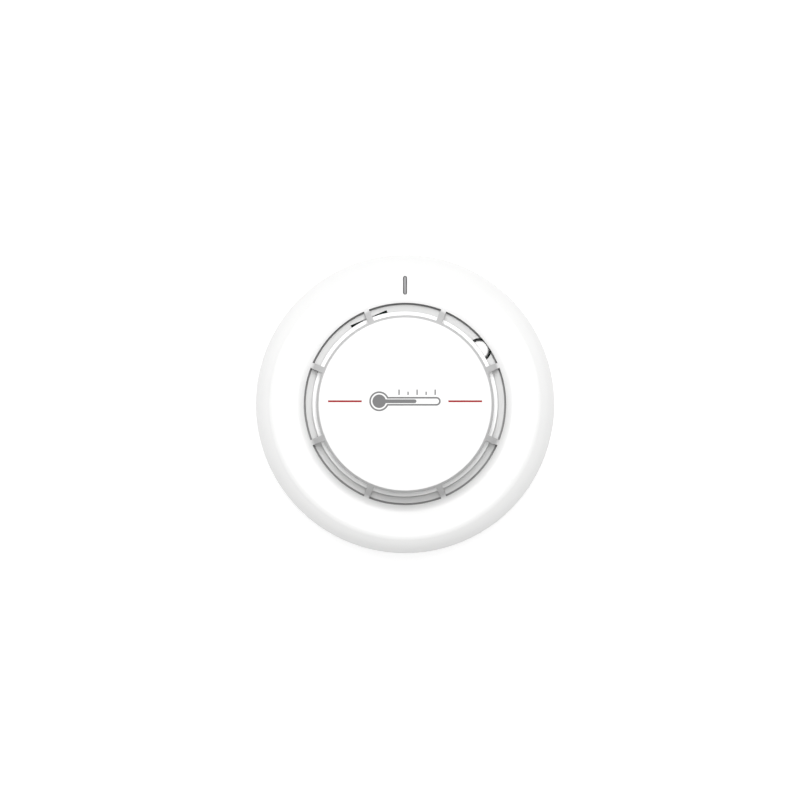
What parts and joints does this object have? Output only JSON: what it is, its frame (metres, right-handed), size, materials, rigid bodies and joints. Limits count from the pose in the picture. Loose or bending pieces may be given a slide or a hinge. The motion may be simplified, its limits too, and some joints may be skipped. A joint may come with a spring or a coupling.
{
  "type": "heat detector",
  "caption": "Round white point heat detector: a twist-off head with a ribbed cage over its thermistor and a slot indicator, on a bayonet ceiling base with screw terminals",
  "frame": {"origin": "centre of the base's mounting face, which lies against the ceiling in use", "axes": "+Z leaves the mounting face towards the room and is the head's twist axis, +Y passes through the indicator slot, +X completes the right-handed frame"},
  "size_m": [0.1, 0.1, 0.044],
  "materials": {
    "white_abs": "white moulded plastic, fine satin grain",
    "inner_abs": "white moulded plastic, smooth",
    "clear_plastic": "clear moulded light pipe, grey while unlit",
    "bead_coating": "dark glossy epoxy bead",
    "board_laminate": "dark green solder resist",
    "component_black": "black moulded component body",
    "lamp_resin": "pale lamp body",
    "nickel_brass": "nickel plated",
    "zinc_steel": "bright zinc plated"
  },
  "bodies": {
    "base": {"base_plate": "white_abs", "terminal_spring_1": "nickel_brass", "terminal_spring_2": "nickel_brass", "terminal_spring_3": "nickel_brass", "terminal_spring_4": "nickel_brass", "terminal_washer_1": "zinc_steel", "terminal_washer_2": "zinc_steel", "terminal_washer_3": "zinc_steel", "terminal_washer_4": "zinc_steel", "terminal_screw_1": "zinc_steel", "terminal_screw_2": "zinc_steel", "terminal_screw_3": "zinc_steel", "terminal_screw_4": "zinc_steel"},
    "head": {"front_cover": "white_abs", "light_pipe": "clear_plastic", "inner_cover": "inner_abs", "sensor_plate": "inner_abs", "thermistor": "bead_coating", "circuit_board": "board_laminate", "indicator_led": "lamp_resin", "microcontroller": "component_black", "bridge_rectifier": "component_black", "programming_connector": "component_black", "crystal": "zinc_steel", "capacitor": "component_black", "choke_coil": "component_black", "rear_shell": "white_abs", "case_screw_1": "zinc_steel", "case_screw_2": "zinc_steel", "case_screw_3": "zinc_steel", "contact_blade_1": "nickel_brass", "contact_blade_2": "nickel_brass", "contact_blade_3": "nickel_brass", "contact_blade_4": "nickel_brass", "contact_screw_1": "zinc_steel", "contact_screw_2": "zinc_steel", "contact_screw_3": "zinc_steel", "contact_screw_4": "zinc_steel", "contact_spacer_1": "nickel_brass", "contact_spacer_2": "nickel_brass", "contact_spacer_3": "nickel_brass", "contact_spacer_4": "nickel_brass"}
  },
  "joints": [
    {"name": "head_twist", "type": "hinge", "parent": "base", "child": "head", "pos_m": [0, 0, 0.0068], "axis": [0, 0, 1], "range_deg": [0, 18]}
  ]
}
